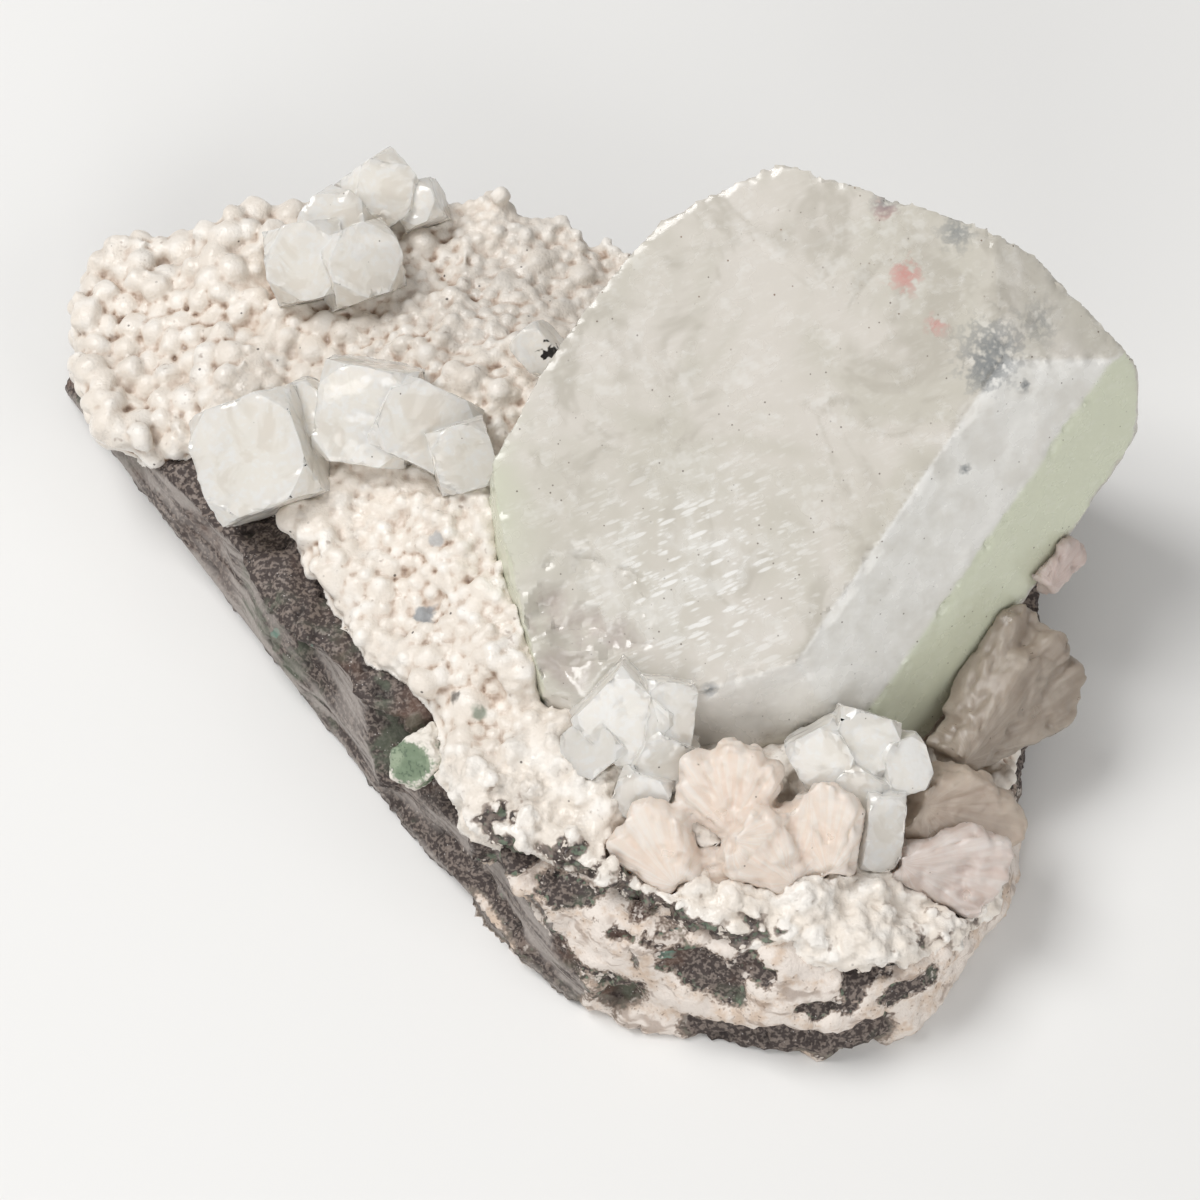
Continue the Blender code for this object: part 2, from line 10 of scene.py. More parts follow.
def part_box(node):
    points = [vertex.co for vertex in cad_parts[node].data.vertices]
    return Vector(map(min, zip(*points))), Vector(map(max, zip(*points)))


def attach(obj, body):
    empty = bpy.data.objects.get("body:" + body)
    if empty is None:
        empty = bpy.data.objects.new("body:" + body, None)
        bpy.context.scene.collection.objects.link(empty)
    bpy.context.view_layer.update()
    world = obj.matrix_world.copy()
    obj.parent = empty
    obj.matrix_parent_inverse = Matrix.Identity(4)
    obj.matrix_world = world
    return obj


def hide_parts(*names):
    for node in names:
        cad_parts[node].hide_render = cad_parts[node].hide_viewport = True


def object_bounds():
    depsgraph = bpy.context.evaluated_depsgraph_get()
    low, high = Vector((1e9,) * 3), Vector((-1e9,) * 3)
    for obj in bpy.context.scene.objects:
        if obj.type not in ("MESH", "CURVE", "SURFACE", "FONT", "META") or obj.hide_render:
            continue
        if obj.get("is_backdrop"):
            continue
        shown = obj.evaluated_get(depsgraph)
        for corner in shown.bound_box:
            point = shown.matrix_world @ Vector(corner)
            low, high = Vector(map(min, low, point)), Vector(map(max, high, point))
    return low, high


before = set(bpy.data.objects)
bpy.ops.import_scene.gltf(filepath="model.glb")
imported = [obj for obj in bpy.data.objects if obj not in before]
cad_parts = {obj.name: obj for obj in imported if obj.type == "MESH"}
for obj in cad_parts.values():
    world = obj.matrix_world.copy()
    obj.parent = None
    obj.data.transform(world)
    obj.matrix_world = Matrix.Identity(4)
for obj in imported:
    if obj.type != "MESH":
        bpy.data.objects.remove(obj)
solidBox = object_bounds()
mm = 0.001
centre = Vector((1.81, -5.58, 0)) * mm  # the photograph's centre in the model's frame


# small helpers

def tone(red, green, blue):  # a colour as seen on screen, 0 to 255, as linear light
    parts = [value / 255 for value in (red, green, blue)]
    return tuple(v / 12.92 if v <= 0.04045 else ((v + 0.055) / 1.055) ** 2.4 for v in parts) + (1,)


class Wire:
    # one node socket that can be used in sums like a number
    def __init__(self, tree, socket=None):
        self.tree, self.socket = tree, socket

    def node(self, kind, settings, values, output=0):
        made = self.tree.nodes.new(kind)
        for key, value in settings.items():
            if key == "stops":
                ramp = made.color_ramp
                while len(ramp.elements) < len(value):
                    ramp.elements.new(0.5)
                for element, (place, colour) in zip(ramp.elements, value):
                    element.position, element.color = place, colour
            else:
                setattr(made, key, value)
        for key, value in values.items():
            if isinstance(value, Wire):
                self.tree.links.new(value.socket, made.inputs[key])
            else:
                made.inputs[key].default_value = value
        return Wire(self.tree, made.outputs[output])

    def calc(self, operation, *values):
        return self.node("ShaderNodeMath", {"operation": operation}, dict(enumerate(values)))

    def __add__(self, other):
        return self.calc("ADD", self, other)

    def __sub__(self, other):
        return self.calc("SUBTRACT", self, other)

    def __rsub__(self, other):
        return self.calc("SUBTRACT", other, self)

    def __mul__(self, other):
        return self.calc("MULTIPLY", self, other)

    def __truediv__(self, other):
        return self.calc("DIVIDE", self, other)

    def __rtruediv__(self, other):
        return self.calc("DIVIDE", other, self)

    def __pow__(self, other):
        return self.calc("POWER", self, other)

    def __neg__(self):
        return self.calc("MULTIPLY", self, -1)

    __radd__ = __add__
    __rmul__ = __mul__

    def atLeast(self, other):
        return self.calc("MAXIMUM", self, other)

    def atMost(self, other):
        return self.calc("MINIMUM", self, other)

    def fit(self, low, high, start, end):  # low to high stretched to start to end
        return self.node("ShaderNodeMapRange", {}, {"Value": self, "From Min": low, "From Max": high,
                                                    "To Min": start, "To Max": end})

    def step(self, low, high):  # 0 below low, 1 above high, smooth between
        return self.node("ShaderNodeMapRange", {"interpolation_type": "SMOOTHSTEP"},
                         {"Value": self, "From Min": low, "From Max": high})

    def blend(self, factor, other):  # this colour turning into the other
        return self.node("ShaderNodeMix", {"data_type": "RGBA"}, {0: factor, 6: self, 7: other}, 2)

    def scaled(self, share):
        return self.node("ShaderNodeVectorMath", {"operation": "SCALE"}, {0: self, "Scale": share})

    def vector(self, operation, other, output=0):
        return self.node("ShaderNodeVectorMath", {"operation": operation}, {0: self, 1: other}, output)


class Finish:
    # a material in the making: fixed values on the shader, everything else from wires
    def __init__(self, name, fixed):
        self.material = bpy.data.materials.new(name)
        self.material.use_nodes = True
        self.tree = self.material.node_tree
        self.shader = self.tree.nodes["Principled BSDF"]
        for key, value in fixed.items():
            self.shader.inputs[key].default_value = value
        self.start = Wire(self.tree)
        self.here = self.node("ShaderNodeTexCoord", {}, {}, "Object")

    def node(self, *words):
        return self.start.node(*words)

    def colour(self, value):
        made = self.node("ShaderNodeRGB", {}, {})
        made.socket.default_value = value
        return made

    def attribute(self, name):
        return self.node("ShaderNodeAttribute", {"attribute_name": name}, {}, "Fac")

    def cloud(self, size, detail=3, rough=0.55, where=None, warp=0.0):  # noise with features of this size in mm
        return self.node("ShaderNodeTexNoise", {}, {"Vector": where or self.here, "Scale": 1000 / size,
                                                    "Detail": detail, "Roughness": rough, "Distortion": warp})

    def cells(self, size, feature="F1", where=None, output="Distance", random=1.0):
        return self.node("ShaderNodeTexVoronoi", {"feature": feature},
                         {"Vector": where or self.here, "Scale": 1000 / size, "Randomness": random}, output)

    def turned(self, place, turn, size):  # coordinates about a place, turned and stretched
        return self.node("ShaderNodeMapping", {"vector_type": "TEXTURE"},
                         {"Vector": self.here, "Location": place, "Rotation": turn, "Scale": size})

    def spot(self, place, radius, soft, rag=None):  # 1 inside a ball in mm, ragged by a wire if given
        away = self.here.vector("DISTANCE", Vector(place) * mm + centre, "Value") * 1000
        if rag is not None:
            away = away + rag
        return away.step(radius + soft, radius - soft)

    def dents(self, height, depth, strength=1.0, under=None):  # bump, with its depth in mm
        values = {"Strength": strength, "Distance": depth * mm, "Height": height}
        if under is not None:
            values["Normal"] = under
        return self.node("ShaderNodeBump", {}, values, "Normal")

    def feed(self, **wires):
        for key, wire in wires.items():
            name = {"colour": "Base Color", "rough": "Roughness", "normal": "Normal", "coat": "Coat Weight",
                    "alpha": "Alpha"}[key]
            self.tree.links.new(wire.socket, self.shader.inputs[name])
        return self.material


# meshes

def merged(node):  # a copy of a CAD node's loose triangles, joined where they touch
    shape = bmesh.new()
    shape.from_mesh(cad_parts[node].data)
    bmesh.ops.remove_doubles(shape, verts=shape.verts, dist=1e-7)
    bmesh.ops.recalc_face_normals(shape, faces=shape.faces)
    return shape


def objectFrom(shape, name, material=None):
    mesh = bpy.data.meshes.new(name)
    shape.to_mesh(mesh)
    shape.free()
    thing = bpy.data.objects.new(name, mesh)
    bpy.context.scene.collection.objects.link(thing)
    if material:
        mesh.materials.append(material)
    return thing


def settled(thing):  # the object with its modifiers made real
    bpy.context.view_layer.update()
    mesh = bpy.data.meshes.new_from_object(thing.evaluated_get(bpy.context.evaluated_depsgraph_get()))
    thing.modifiers.clear()
    old, thing.data = thing.data, mesh
    bpy.data.meshes.remove(old)
    return thing


def voxels(thing, size):  # one even skin over whatever the object holds
    modifier = thing.modifiers.new("skin", "REMESH")
    modifier.mode, modifier.voxel_size, modifier.use_smooth_shade = "VOXEL", size * mm, True
    return settled(thing)


def shadeByAngle(thing, degrees):
    mesh = thing.data
    mesh.shade_smooth()
    mesh.set_sharp_from_angle(angle=math.radians(degrees))
    return thing


def dress(thing, *nodes, slot, material=None):
    if material:
        thing.data.materials.clear()
        thing.data.materials.append(material)
    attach(thing, "root")
    if nodes:
        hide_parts(*nodes)
    return thing


def treeOf(*nodes):  # the CAD nodes as one tree for rays and nearest points
    points, faces = [], []
    for node in nodes:
        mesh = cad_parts[node].data
        first = len(points)
        points += [v.co.copy() for v in mesh.vertices]
        faces += [[first + i for i in polygon.vertices] for polygon in mesh.polygons]
    return BVHTree.FromPolygons(points, faces)


def faceFrame(facing, spin):  # the turn that lays a flat face's own x and y on it
    up = Vector(facing).normalized()
    side = Vector((0, 1, 0)).cross(up).normalized()
    turn = Matrix((side, up.cross(side), up)).transposed()
    return turn @ Matrix.Rotation(math.radians(spin), 3, "Z")


def storeField(thing, name, values, domain="POINT"):
    field = thing.data.attributes.new(name, "FLOAT", domain)
    field.data.foreach_set("value", values)


crystalNodes = [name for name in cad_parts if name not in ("basalt_matrix", "druse_crust")]
crystalTree = treeOf(*crystalNodes)
stoneTree = treeOf("basalt_matrix")


# camera

view = dict(target=centre + Vector((0, 0, 20)) * mm, height=60, distance=420 * mm, lens=120, sensor=36, frame=1200)
toCamera = Vector((0, -math.cos(math.radians(view["height"])), math.sin(math.radians(view["height"]))))
upward = Vector((0, math.sin(math.radians(view["height"])), math.cos(math.radians(view["height"]))))


def buildCamera():
    data = bpy.data.cameras.new("viewpoint")
    data.lens, data.sensor_width = view["lens"], view["sensor"]
    data.clip_start, data.clip_end = 0.01, 10
    camera = bpy.data.objects.new("viewpoint", data)
    bpy.context.scene.collection.objects.link(camera)
    camera.location = view["target"] + toCamera * view["distance"]
    camera.rotation_euler = toCamera.to_track_quat("Z", "Y").to_euler()
    bpy.context.scene.camera = camera


def sight(across, down):  # the ray from the eye through a spot of the photograph
    half = view["frame"] / 2
    reach = view["sensor"] / 2 / view["lens"]
    return (Vector(((across - half) / half * reach, 0, 0)) + upward * ((half - down) / half * reach)
            - toCamera).normalized()


def under(across, down, tree):  # the place on the model that is seen at a spot of the photograph
    eye = view["target"] + toCamera * view["distance"]
    return tree.ray_cast(eye, sight(across, down))[0]


# basalt

stoneLook = dict(
    skinVoxel=0.6, rough=0.55, pit=0.9,
    dark=tone(68, 59, 56), pale=tone(124, 112, 104), ashen=tone(150, 134, 122), low=tone(122, 112, 102),
    brown=tone(98, 74, 62), green=tone(88, 94, 80),
    chalk=tone(222, 212, 203), chalkWarm=tone(204, 184, 166), sawn=tone(168, 160, 154), glint=tone(200, 194, 190),
    teal=tone(104, 136, 122), mossy=tone(112, 128, 108),
)
# dark lenses that show through the white layers of the front wall: ends as seen, and half thickness in mm
darkLenses = [
    ((484, 868), (560, 888), 1.3), ((560, 888), (625, 893), 1.2), ((625, 893), (690, 926), 1.5),
    ((562, 852), (616, 868), 1.6), ((494, 815), (518, 855), 1.7), ((552, 950), (622, 986), 2.0),
    ((545, 968), (570, 990), 1.6), ((684, 958), (727, 982), 1.9), ((718, 935), (765, 934), 1.1),
    ((853, 982), (884, 970), 1.1), ((924, 931), (966, 913), 1.3), ((700, 1026), (790, 1042), 1.9),
    ((790, 1042), (872, 1032), 2.0), ((580, 1002), (700, 1018), 0.8), ((735, 962), (770, 975), 0.9),
    ((800, 1003), (850, 1000), 0.6), ((600, 925), (660, 940), 0.5), ((890, 1000), (930, 975), 0.9),
]


def segmentAway(point, start, end):
    along = end - start
    share = max(0.0, min(1.0, (point - start).dot(along) / max(along.length_squared, 1e-12)))
    return (point - start - along * share).length


def wallLenses():
    wall = treeOf("basalt_matrix", "druse_crust")
    found = [(under(*start, wall), under(*end, wall), half * mm) for start, end, half in darkLenses]
    return [lens for lens in found if lens[0] and lens[1]]


def rockShare(spot, lenses):  # 1 in the middle of a dark lens, 0 well outside
    place = (spot - centre) / mm
    bent = spot + (noise.noise_vector(place * 0.3) * 1.2 + noise.noise_vector(place * 0.8) * 0.7) * mm
    nearest = min(segmentAway(bent, start, end) / half for start, end, half in lenses)
    return 1 - max(0.0, min(1.0, (nearest - 0.9) / 0.9))


def buildStone(finish):
    look = stoneLook
    stone = objectFrom(merged("basalt_matrix"), "basalt_skin", finish)
    voxels(stone, look["skinVoxel"])
    mesh = stone.data
    lenses = wallLenses()
    sawOut = Vector((-0.8103, -0.5860, 0.0)).normalized()
    chalk, sawn, pits, moved = [], [], [], []
    for vertex in mesh.vertices:
        spot, out = vertex.co, vertex.normal
        place = (spot - centre) / mm
        flat = out.z < -0.9 and spot.z < 0.6 * mm
        cut = max(0.0, min(1.0, (out.dot(sawOut) - 0.86) / 0.08)) * (1 if place.z < 14 else 0)
        warp = noise.noise_vector(place * 0.3) * 1.4 + noise.noise_vector(place * 0.8) * 0.7
        front = max(0.0, min(1.0, (place.x + 15 + warp.x) / 3)) * max(0.0, min(1.0, (-place.y - 12) / 6))
        shows = 1 - rockShare(spot, lenses) if front > 0 else 1
        layer = noise.noise(Vector((place.x * 0.06, place.y * 0.06, place.z * 1.1 + warp.z * 0.6))) * 0.5 + 0.5
        edge = max(0.0, min(1.0, (-4 - place.x) / 6))
        thin = 1 - max(0.0, min(1.0, (0.5 * edge + 0.27 - layer) / 0.2))
        white = front * shows * thin
        coarse = noise.fractal(place * 0.32, 0.9, 2.1, 4)
        fine = noise.fractal(place * 1.1, 0.8, 2.0, 3)
        hole = noise.noise(place * 0.55 + Vector((7, 3, 1)))
        pit = max(0.0, hole - 0.34) * 3.2 * (1 - white)
        lift = coarse * look["rough"] + fine * 0.28 - pit * look["pit"] + white * 0.7
        if flat:
            lift = 0.0
        lift = lift * (1 - cut) + cut * fine * 0.03
        chalk.append(white * (1 - cut))
        sawn.append(cut)
        # pits: how deep each pit is, kept to paint shade into it
        pits.append(min(1.0, pit * 1.5))
        moved.append(spot + out * lift * mm)
    for vertex, spot in zip(mesh.vertices, moved):
        vertex.co = spot
        vertex.co.z = max(0.0, spot.z)
    storeField(stone, "chalk", chalk)
    storeField(stone, "sawn", sawn)
    storeField(stone, "pits", pits)
    print("basalt", len(mesh.polygons), "lenses", len(lenses))
    return dress(stone, "basalt_matrix", slot="basalt", material=finish)


def stoneFinish():
    look = stoneLook
    paint = Finish("basalt_rough", {"IOR": 1.5, "Specular IOR Level": 0.4})
    chalk, sawn, pits = paint.attribute("chalk"), paint.attribute("sawn"), paint.attribute("pits")
    broad, mid, fine = paint.cloud(11, 3), paint.cloud(2.4, 3, 0.65), paint.cloud(0.5, 1, 0.7)
    body = paint.colour(look["dark"]).blend(fine.step(0.45, 0.64), look["pale"])
    body = body.blend(broad.step(0.5, 0.66) * mid.step(0.35, 0.6) * 0.75, look["brown"])
    body = body.blend(paint.cloud(13, 3, 0.6, warp=0.4).step(0.56, 0.64) * mid.step(0.4, 0.55) * 0.8, look["green"])
    body = body.blend(paint.cloud(7, 3, 0.6, warp=0.9).step(0.67, 0.7) * 0.8, look["teal"])
    glint = paint.cells(0.55).step(0.16, 0.1) * paint.cloud(1.4, 2).step(0.5, 0.6)
    body = body.blend(glint * 0.7, look["glint"])
    # painted shade: the pits darkened to near black by their depth
    body = body.blend(pits * 0.6, tone(34, 28, 27))
    streaks = paint.cloud(1.2, 2, 0.6, where=paint.turned((0, 0, 0), (0, 0, math.radians(-54)), (9, 1, 1)))
    body = body.blend(sawn * streaks.step(0.3, 0.62) * 0.85, look["sawn"])
    powder = paint.colour(look["chalk"]).blend(mid.step(0.45, 0.7), look["chalkWarm"])
    powder = powder.blend(fine.step(0.6, 0.72) * mid.step(0.46, 0.58) * 0.7, tone(128, 108, 92))
    layers = paint.cloud(1.3, 2, 0.65, where=paint.turned((0, 0, 0), (0.2, 0.1, 0), (4, 4, 1)))
    powder = powder.blend(layers.step(0.54, 0.66) * 0.6, tone(142, 122, 108))
    bits = paint.cloud(1.1, 2, 0.7)
    wall = (chalk * 3).atMost(1) + (mid - 0.5) * 0.4
    body = body.blend(wall.step(0.1, 0.5) * bits.step(0.54, 0.64) * 0.7, look["mossy"])
    body = body.blend(wall.step(0.1, 0.5) * bits.step(0.44, 0.36) * 0.8, look["chalk"])
    torn = chalk + (mid - 0.5) * 0.9 + (fine - 0.5) * 0.8
    height = paint.node("ShaderNodeSeparateXYZ", {}, {"Vector": paint.here}, "Z") * 1000
    body = body.blend(wall.step(0.1, 0.5) * height.step(5, 2.5) * mid.step(0.3, 0.5) * 0.8, look["low"])
    body = body.blend(torn.step(0.28, 0.5) * 0.85, look["ashen"])
    body = body.blend(torn.step(0.46, 0.7), powder)
    rough = fine.fit(0.3, 0.7, 0.85, 0.45) - glint * 0.35
    relief = fine * 0.6 + paint.cloud(0.25, 1) * 0.4
    return paint.feed(colour=body, rough=rough, normal=paint.dents(relief, 0.18, 0.7))


# druse

# the brown crevice colour and the deep colour are painted shade for the crevices and the sunk skin between the knobs
druseLook = dict(
    skinVoxel=0.7, fusedVoxel=0.31, mostTriangles=195000, spacingFine=1.4,
    fine=(0.75, 1.15), spacingCoarse=2.6, coarse=(1.4, 2.2), recess=0.75, cream=tone(222, 213, 202),
    white=tone(234, 229, 222), grey=tone(198, 191, 182), creviceShade=tone(162, 130, 104),
    grainsSeen=[((425, 612), 1.1, tone(122, 128, 134)), ((436, 540), 0.8, tone(160, 160, 160)),
                ((478, 714), 0.9, tone(122, 134, 118)), ((455, 697), 0.5, tone(60, 56, 52))],
    deep=tone(96, 70, 50), speck=tone(56, 46, 40),
)


def druseFinish():
    look = druseLook
    paint = Finish("druse_knobs", {"IOR": 1.5, "Specular IOR Level": 0.45})
    crown, glassy = paint.attribute("crown"), paint.attribute("glassy")
    broad, mid, fine = paint.cloud(9, 3), paint.cloud(2.6, 3, 0.6), paint.cloud(0.7, 1, 0.6)
    tint = paint.attribute("tint")
    # painted light: knob crowns whitened through the crown field, mixed with tone that varies from noise and tint
    body = paint.colour(look["cream"]).blend((mid * 0.6 + crown * 0.35 + tint * 0.4).step(0.45, 0.95), look["white"])
    body = body.blend(broad.step(0.55, 0.42) * mid.step(0.5, 0.62) * 0.5, look["grey"])
    body = body.blend(glassy * (0.35 + mid.step(0.35, 0.6) * 0.4), look["grey"])
    # painted shade: the crevices and the sunk skin between the knobs turned browner, then darker, through the crown
    # field
    hollows = crown + (fine - 0.5) * 0.4
    body = body.blend(hollows.step(-0.05, -0.6) * (broad.step(0.38, 0.6) * 0.45 + 0.2), look["creviceShade"])
    body = body.blend(hollows.step(-0.35, -0.85) * (broad.step(0.4, 0.6) * 0.6 + 0.25), look["deep"])
    torn = paint.attribute("rock") + (mid - 0.5) * 1.1 + (fine - 0.5) * 0.8
    body = body.blend(torn.step(0.2, 0.42) * 0.75, stoneLook["ashen"])
    rock = torn.step(0.38, 0.58)
    bits = paint.cloud(1.1, 2, 0.7)
    stone = paint.colour(stoneLook["dark"]).blend(fine.step(0.4, 0.66), stoneLook["pale"])
    stone = stone.blend(bits.step(0.54, 0.64) * 0.7, stoneLook["mossy"]).blend(bits.step(0.42, 0.36), look["cream"])
    body = body.blend(rock, stone)
    dots = paint.cells(2.3).step(0.085, 0.05) * paint.cloud(5, 2).step(0.46, 0.56)
    body = body.blend(dots * 0.85, look["speck"])
    crust = treeOf("druse_crust")
    for seen, radius, colour in look["grainsSeen"]:
        place = under(*seen, crust)
        if place:
            body = body.blend(paint.spot((place - centre) / mm, radius, 0.3, (mid - 0.5) * 3) * 0.8, colour)
    rough = paint.cloud(2.2, 3).fit(0.35, 0.65, 0.25, 0.6)
    grains = paint.cloud(0.5, 1) * 0.5 + paint.cloud(0.3, 1) * 0.5
    return paint.feed(colour=body, rough=rough, normal=paint.dents(grains, 0.16, 0.8))


def knobTree():
    tree = bpy.data.node_groups.new("scattered_knobs", "GeometryNodeTree")
    face = tree.interface
    face.new_socket("Geometry", in_out="OUTPUT", socket_type="NodeSocketGeometry")
    face.new_socket("Skin", in_out="INPUT", socket_type="NodeSocketGeometry")
    for label, kind in [("Spacing", "Float"), ("Smallest", "Float"), ("Largest", "Float"), ("Seed", "Int"),
                        ("Squareness", "Float"), ("Ragged", "Float"), ("Detail", "Int"), ("Field", "String"),
                        ("Finish", "Material")]:
        face.new_socket(label, in_out="INPUT", socket_type="NodeSocket" + kind)
    start = Wire(tree)
    given = tree.nodes.new("NodeGroupInput")
    sockets = {socket.name: Wire(tree, socket) for socket in given.outputs if socket.name}
    scattered = tree.nodes.new("GeometryNodeDistributePointsOnFaces")
    scattered.distribute_method = "POISSON"
    grow = start.node("GeometryNodeInputNamedAttribute", {"data_type": "FLOAT"}, {"Name": sockets["Field"]})
    for key, wire in (("Mesh", sockets["Skin"]), ("Distance Min", sockets["Spacing"]), ("Seed", sockets["Seed"]),
                      ("Density Factor", grow)):
        tree.links.new(wire.socket, scattered.inputs[key])
    scattered.inputs["Density Max"].default_value = 3e6
    spots = Wire(tree, scattered.outputs["Points"])
    normal = Wire(tree, scattered.outputs["Normal"])
    seat = start.node("GeometryNodeInputPosition", {}, {})
    chance = start.node("FunctionNodeRandomValue", {"data_type": "FLOAT"},
                        {2: 0.0, 3: 1.0, "Seed": sockets["Seed"]}, 1)
    reach = sockets["Smallest"] + (sockets["Largest"] - sockets["Smallest"]) * chance ** 1.7
    # two kinds of grain: a rounded block, and a rounder lump
    cube = start.node("GeometryNodeMeshCube", {}, {"Vertices X": sockets["Detail"], "Vertices Y": sockets["Detail"],
                                                   "Vertices Z": sockets["Detail"]})
    ball = seat.vector("NORMALIZE", (0, 0, 0))
    blocks = []
    for share in (1.0, 0.35):
        pull = sockets["Squareness"] * share
        rounded = start.node("ShaderNodeMix", {"data_type": "VECTOR"}, {0: pull, 4: ball, 5: seat.scaled(1.55)}, 1)
        shape = start.node("GeometryNodeSetPosition", {}, {"Geometry": cube, "Position": rounded})
        blocks.append(start.node("GeometryNodeGeometryToInstance", {}, {"Geometry": shape}))
    joined = tree.nodes.new("GeometryNodeJoinGeometry")
    for block in blocks:
        tree.links.new(block.socket, joined.inputs[0])
    turn = start.node("FunctionNodeRandomValue", {"data_type": "FLOAT_VECTOR"},
                      {0: (0, 0, 0), 1: (6.28, 6.28, 6.28), "Seed": 3})
    shape = start.node("FunctionNodeRandomValue", {"data_type": "FLOAT_VECTOR"},
                       {0: (0.8, 0.8, 0.75), 1: (1.2, 1.2, 1.1), "Seed": 5})
    size = shape.scaled(reach)
    sunk = start.node("GeometryNodeSetPosition", {}, {"Geometry": spots, "Offset": normal.scaled(reach * -0.3)})
    placed = start.node("GeometryNodeInstanceOnPoints", {},
                        {"Points": sunk, "Instance": Wire(tree, joined.outputs[0]), "Pick Instance": True,
                         "Rotation": turn, "Scale": size})
    real = start.node("GeometryNodeRealizeInstances", {}, {"Geometry": placed})
    stir = start.node("ShaderNodeTexNoise", {}, {"Scale": 1000 / 1.5, "Detail": 2.0}, "Color")
    stir = stir.vector("SUBTRACT", (0.5, 0.5, 0.5)).scaled(sockets["Ragged"])
    ragged = start.node("GeometryNodeSetPosition", {}, {"Geometry": real, "Offset": stir})
    smooth = start.node("GeometryNodeSetShadeSmooth", {}, {"Geometry": ragged})
    done = start.node("GeometryNodeSetMaterial", {}, {"Geometry": smooth, "Material": sockets["Finish"]})
    out = tree.nodes.new("NodeGroupOutput")
    tree.links.new(done.socket, out.inputs[0])
    return tree


def grown(skin, name, tree, **values):  # a scattered field over a skin, as a plain mesh
    thing = bpy.data.objects.new(name, skin.data.copy())
    bpy.context.scene.collection.objects.link(thing)
    modifier = thing.modifiers.new("field", "NODES")
    modifier.node_group = tree
    for item in tree.interface.items_tree:
        if item.in_out == "INPUT" and item.name in values:
            modifier[item.identifier] = values[item.name]
    return settled(thing)


def fused(pieces, name, size):  # several meshes grown into one even skin
    shape = bmesh.new()
    for piece in pieces:
        shape.from_mesh(piece.data)
        bpy.data.objects.remove(piece)
    return voxels(objectFrom(shape, name), size)


def relaxed(thing, rounds, factor=0.5):  # where the points go when the surface is smoothed
    modifier = thing.modifiers.new("ease", "SMOOTH")
    modifier.factor, modifier.iterations = factor, rounds
    bpy.context.view_layer.update()
    eased = thing.evaluated_get(bpy.context.evaluated_depsgraph_get()).data
    places = [vertex.co.copy() for vertex in eased.vertices]
    thing.modifiers.clear()
    return places


def against(spot, out, tree, reach):  # how far off the tree's surface lies straight outward, or nothing
    lifted = spot + out * 0.02 * mm
    away = tree.ray_cast(lifted, out, reach * mm)[3]
    return away


def farAndRidge(spot):  # how far into the coarse left end, and into the soft front ridge
    x, y = (spot.x - centre.x) / mm, (spot.y - centre.y) / mm
    return max(0.0, min(1.0, (-x - 24) / 16)), max(0.0, min(1.0, (-y - 15) / 4)) if x > -16 else 0.0


def buildDruse(finish, tree):
    look = druseLook
    skin = voxels(objectFrom(merged("druse_crust"), "druse_skin"), look["skinVoxel"])
    coarse, fine = [], []
    for vertex in skin.data.vertices:
        far, ridge = farAndRidge(vertex.co)
        out = vertex.normal
        gap = against(vertex.co, out, crystalTree, 1.0) or against(vertex.co, out, stoneTree, 0.9)
        bare = 0.0 if gap is not None or out.z < -0.35 else 1.0
        coarse.append(bare * max(far, 0.2, 0.45 * ridge))
        fine.append(bare * (1 - 0.6 * far) * (1 - 0.85 * ridge))
        vertex.co += out * ((gap or 0.0) - look["recess"] * bare * (1 - 0.6 * ridge) * mm)
    storeField(skin, "coarse", coarse)
    storeField(skin, "fine", fine)
    lumps = grown(skin, "lumps", tree, Spacing=look["spacingCoarse"] * mm, Smallest=look["coarse"][0] * mm,
                  Largest=look["coarse"][1] * mm, Seed=9, Squareness=0.35, Ragged=0.00045, Detail=6,
                  Field="coarse", Finish=finish)
    knobs = grown(skin, "knobs", tree, Spacing=look["spacingFine"] * mm, Smallest=look["fine"][0] * mm,
                  Largest=look["fine"][1] * mm, Seed=4, Squareness=0.3, Ragged=0.00025, Detail=5,
                  Field="fine", Finish=finish)
    crust = fused([skin, lumps, knobs], "crust", look["fusedVoxel"])
    for vertex, spot in zip(crust.data.vertices, relaxed(crust, 1)):
        vertex.co = spot
    hidden = crust.vertex_groups.new(name="hidden")
    hidden.add([v.index for v in crust.data.vertices if v.normal.z < -0.3], 1.0, "REPLACE")
    triangles = sum(len(face.vertices) - 2 for face in crust.data.polygons)
    print("druse", triangles, "triangles before thinning")
    if triangles > look["mostTriangles"]:
        thin = crust.modifiers.new("thin", "DECIMATE")
        thin.ratio, thin.vertex_group, thin.vertex_group_factor = look["mostTriangles"] / triangles, "hidden", 10
        settled(crust)
    crust.data.shade_smooth()
    fields = dict(crown=[], glassy=[], rock=[], tint=[])
    lenses, lifts = wallLenses(), []
    for vertex, spot in zip(crust.data.vertices, relaxed(crust, 20)):
        place = (vertex.co - centre) / mm
        far, ridge = farAndRidge(vertex.co)
        rock = rockShare(vertex.co, lenses) if place.y < -12 else 0.0
        rock *= max(0.0, min(1.0, (0.95 - vertex.normal.z) / 0.35))
        powder = noise.fractal(place * 0.7, 0.8, 2.1, 4) * 0.55 * ridge
        lifts.append(vertex.co + vertex.normal * (powder - 0.5 * rock) * mm)
        # crown: how far a point stands out from its smoothed place, used to paint light on the knob tops and shade
        # in the crevices
        fields["crown"].append(max(-1.0, min(1.0, (vertex.co - spot).dot(vertex.normal) / mm * 4 + ridge * 0.3)))
        fields["rock"].append(rock)
        fields["glassy"].append(math.exp(-((place.x + 12) / 12) ** 2 - ((place.y - 36) / 9) ** 2))
        fields["tint"].append(noise.noise(place * 0.45) + 0.5)
    for vertex, spot in zip(crust.data.vertices, lifts):
        vertex.co = spot
    for name, values in fields.items():
        storeField(crust, name, values)
    crust.name = "druse_crust_skin"
    print("druse crust", sum(len(face.vertices) - 2 for face in crust.data.polygons), "triangles")
    dress(crust, "druse_crust", slot="druse", material=finish)


# large crystal

